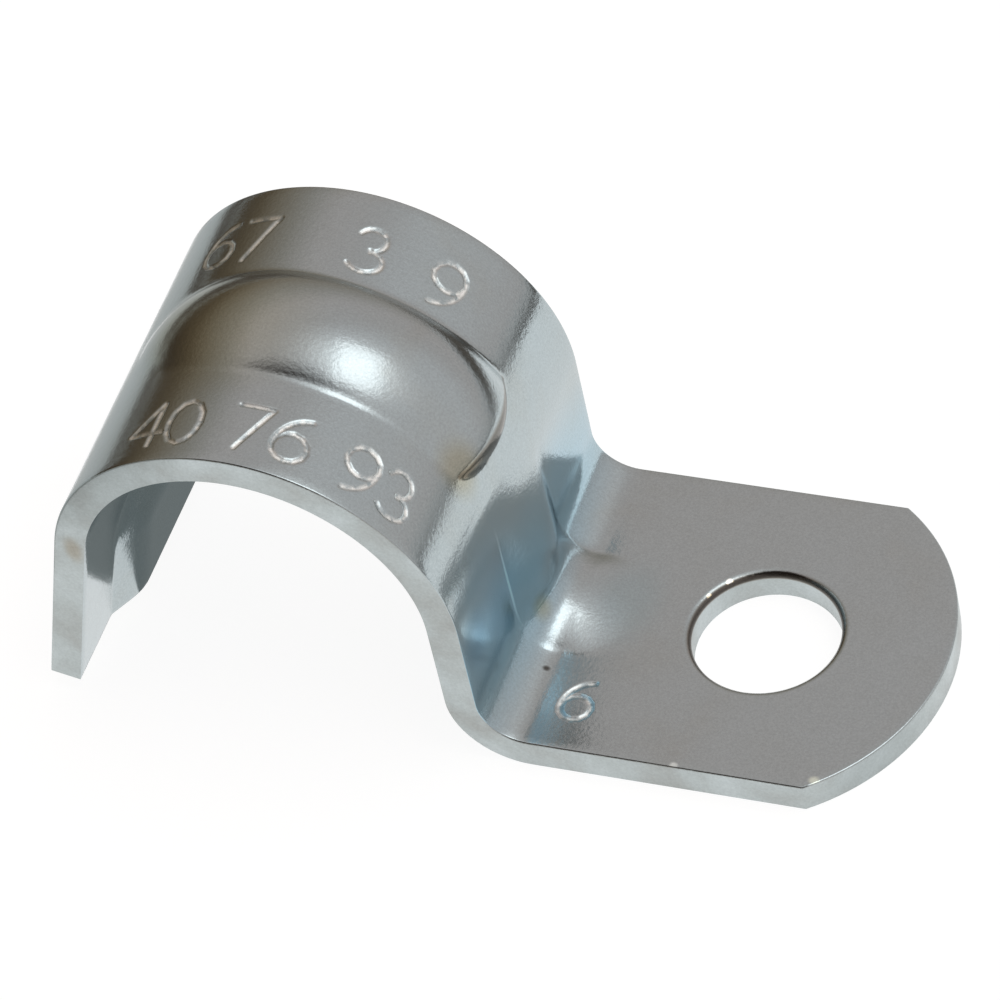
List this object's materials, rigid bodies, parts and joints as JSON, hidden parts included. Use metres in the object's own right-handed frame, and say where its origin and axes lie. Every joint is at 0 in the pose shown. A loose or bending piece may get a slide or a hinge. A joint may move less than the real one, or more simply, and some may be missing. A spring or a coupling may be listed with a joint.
{
  "type": "conduit strap",
  "caption": "Folded sheet steel strap with a flat screw foot, an arch with a raised bead for a flexible cable, and an open leg with a pressed detent.",
  "frame": {"origin": "centre of the screw hole on the mounting face of the foot", "axes": "+X along the strap from the arch to the rounded end of the foot, +Y across the strap along the cable, +Z away from the wall, the way the screw leaves"},
  "size_m": [0.0387, 0.016, 0.018],
  "materials": {
    "zinc_plated_steel": "bright zinc plating, fine satin grain"
  },
  "bodies": {
    "root": {"strap": "zinc_plated_steel"}
  },
  "joints": []
}
